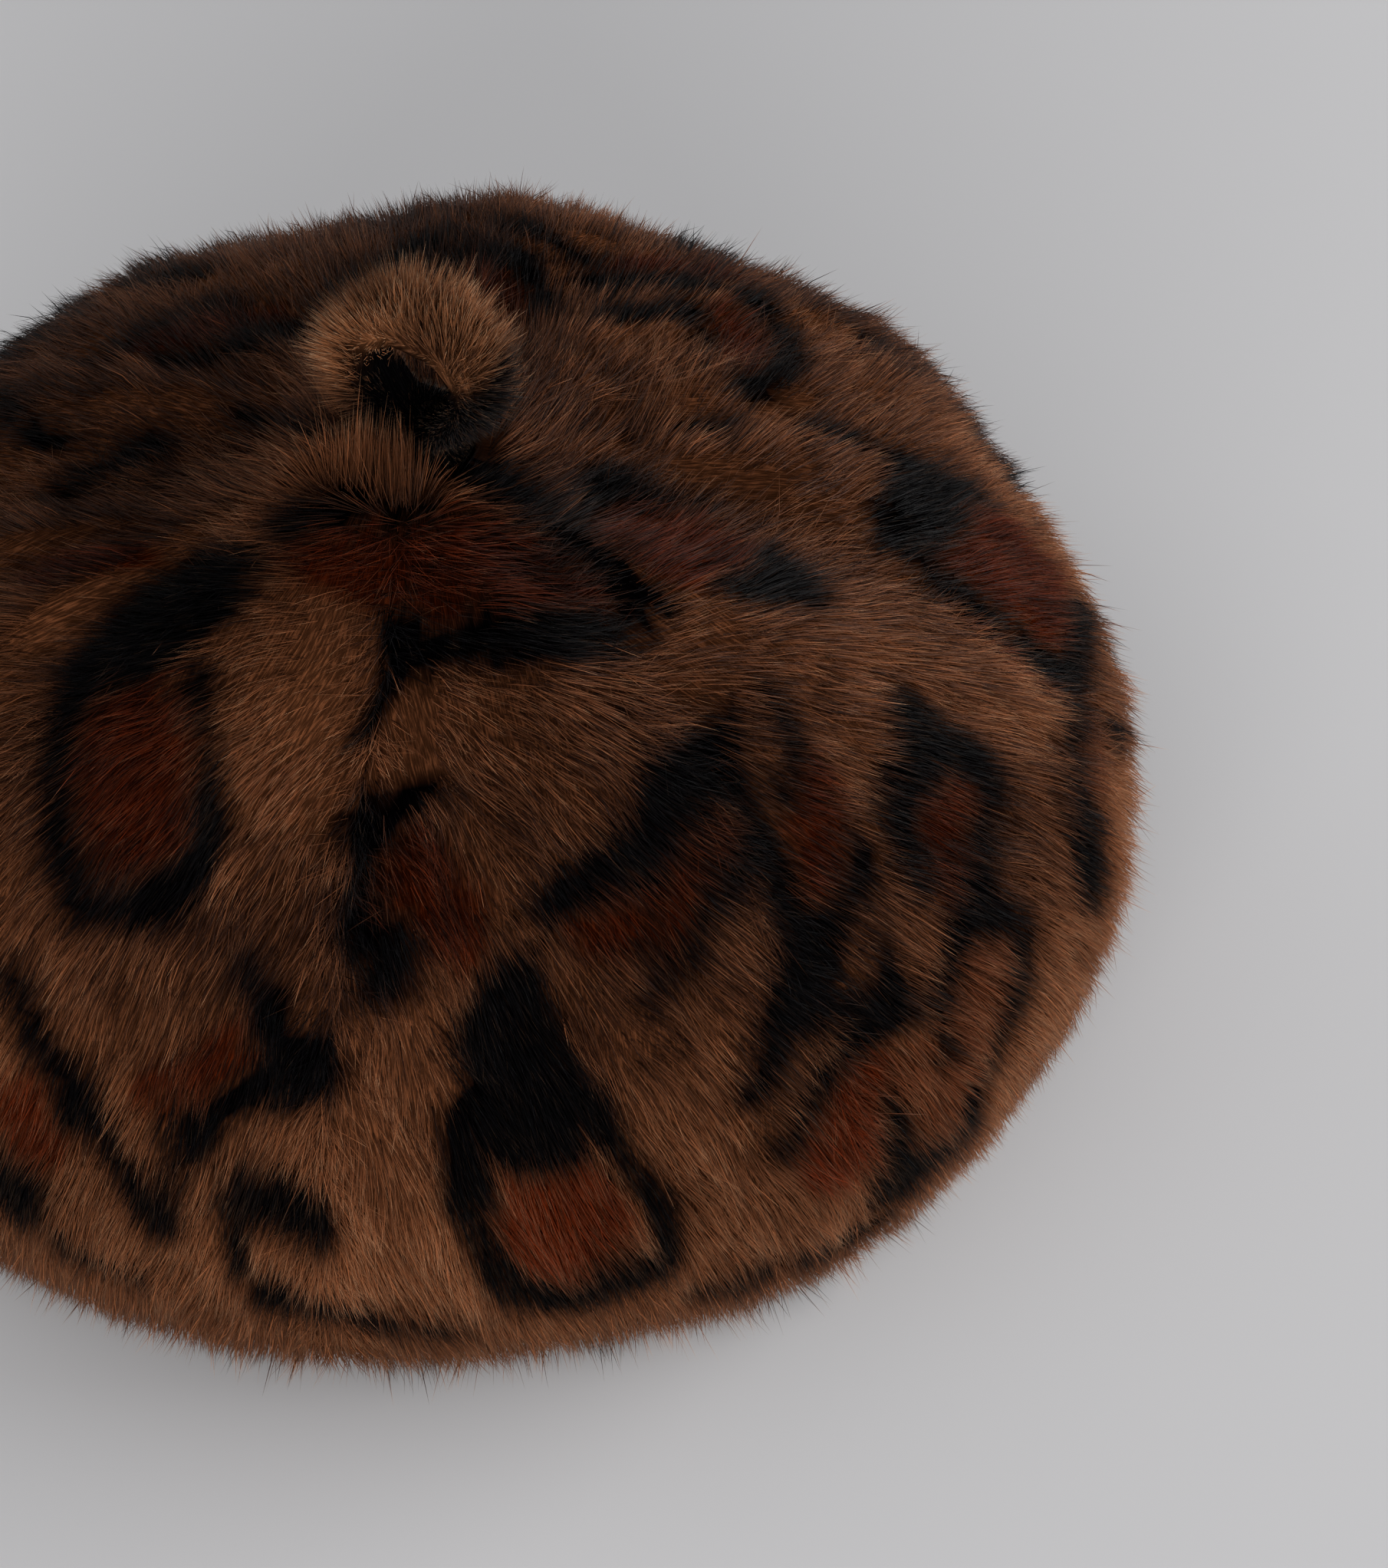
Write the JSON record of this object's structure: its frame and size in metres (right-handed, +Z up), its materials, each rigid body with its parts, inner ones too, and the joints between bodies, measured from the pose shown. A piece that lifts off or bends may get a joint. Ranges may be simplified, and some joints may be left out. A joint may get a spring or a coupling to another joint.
{
  "type": "beret",
  "caption": "Round full-crowned beret of deep faux fur in sewn gores, with a fur band around the open head hollow and a stand-up fur loop at the crown.",
  "frame": {"origin": "middle of the beret's outline seen from above, at the height of the table that it rests on", "axes": "+Z up out of the crown; -Y is the side that faces the viewer in the picture; +X is that viewer's right"},
  "size_m": [0.2758, 0.27, 0.1614],
  "materials": {
    "crown_fur": "deep faux fur, tan ground with rust rosettes ringed in black",
    "hem_fur": "deep faux fur, dark brown, with a plain folded cloth edge inside",
    "loop_fur": "deep faux fur, tan with a dark side"
  },
  "bodies": {
    "root": {"crown_gore_1": "crown_fur", "crown_gore_2": "crown_fur", "crown_gore_3": "crown_fur", "crown_gore_4": "crown_fur", "crown_gore_5": "crown_fur", "crown_gore_6": "crown_fur", "crown_gore_7": "crown_fur", "crown_gore_8": "crown_fur", "hem_band": "hem_fur", "crown_loop": "loop_fur"}
  },
  "joints": []
}
